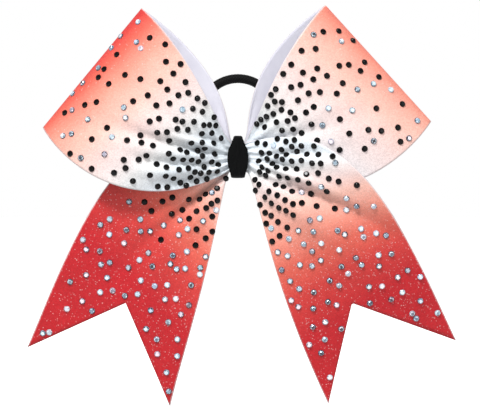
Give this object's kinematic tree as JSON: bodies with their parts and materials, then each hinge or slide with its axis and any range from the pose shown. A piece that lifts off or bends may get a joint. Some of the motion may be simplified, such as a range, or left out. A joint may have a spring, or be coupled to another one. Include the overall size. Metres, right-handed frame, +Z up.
{
  "type": "cheer hair bow",
  "caption": "Large folded-ribbon hair bow with two loops and two swallow tails, rhinestones, a black centre wrap and a hair elastic behind.",
  "frame": {"origin": "centre of the flat back of the centre wrap, where the bow rests against the hair", "axes": "+X towards the loop on the right seen from the front, +Y backwards out of the wrap's back, +Z up"},
  "size_m": [0.2119, 0.0436, 0.198],
  "materials": {
    "wrap_black": "matte knit",
    "hot_glue": "cloudy hot-melt glue",
    "waxed_thread": "waxed",
    "ribbon_pale": "fine glitter, gathered",
    "ribbon_pale_ombre": "fine glitter print, white at the knot to coral at the folds",
    "ribbon_red_ombre": "fine glitter print, coral at the knot to red at the ends",
    "ribbon_lining": "white ribbed ribbon",
    "stone_black": "faceted, high gloss",
    "stone_crystal": "faceted, foil-backed",
    "elastic_black": "braided"
  },
  "bodies": {
    "knot": {"center_wrap": "wrap_black", "wrap_inner_end": "wrap_black", "wrap_glue_pad": "hot_glue", "gather_thread": "waxed_thread", "thread_knot": "waxed_thread", "center_front_pleats": "ribbon_pale", "center_middle_pleats": "ribbon_pale", "center_back_pleats": "ribbon_pale"},
    "elastic_ring": {"hair_elastic": "elastic_black", "elastic_joint": "elastic_black"},
    "left_loop": {"left_loop_face": "ribbon_pale_ombre", "left_loop_lining": "ribbon_lining", "left_loop_black_stones": "stone_black", "left_loop_crystal_stones": "stone_crystal"},
    "right_loop": {"right_loop_face": "ribbon_pale_ombre", "right_loop_lining": "ribbon_lining", "right_loop_black_stones": "stone_black", "right_loop_crystal_stones": "stone_crystal"},
    "left_tail": {"left_tail_face": "ribbon_red_ombre", "left_tail_lining": "ribbon_lining", "left_tail_black_stones": "stone_black", "left_tail_crystal_stones": "stone_crystal"},
    "right_tail": {"right_tail_face": "ribbon_red_ombre", "right_tail_lining": "ribbon_lining", "right_tail_black_stones": "stone_black", "right_tail_crystal_stones": "stone_crystal"}
  },
  "joints": [
    {"name": "elastic_swing", "type": "hinge", "parent": "knot", "child": "elastic_ring", "pos_m": [0, -0.0036, 0.0058], "axis": [1, 0, 0], "range_deg": [-95, 0], "stiffness_Nm_per_rad": 0.02},
    {"name": "left_loop_flex", "type": "hinge", "parent": "knot", "child": "left_loop", "pos_m": [-0.0042, -0.0136, 0], "axis": [0, 0, 1], "range_deg": [-5, 15], "stiffness_Nm_per_rad": 0.05},
    {"name": "right_loop_flex", "type": "hinge", "parent": "knot", "child": "right_loop", "pos_m": [0.0042, -0.0136, 0], "axis": [0, 0, 1], "range_deg": [-15, 5], "stiffness_Nm_per_rad": 0.05},
    {"name": "left_tail_flex", "type": "hinge", "parent": "left_loop", "child": "left_tail", "pos_m": [-0.0042, -0.0109, 0], "axis": [0, 0, 1], "range_deg": [-4, 3], "stiffness_Nm_per_rad": 0.03},
    {"name": "right_tail_flex", "type": "hinge", "parent": "right_loop", "child": "right_tail", "pos_m": [0.0042, -0.0136, 0], "axis": [0, 0, 1], "range_deg": [-12, 3], "stiffness_Nm_per_rad": 0.03}
  ]
}
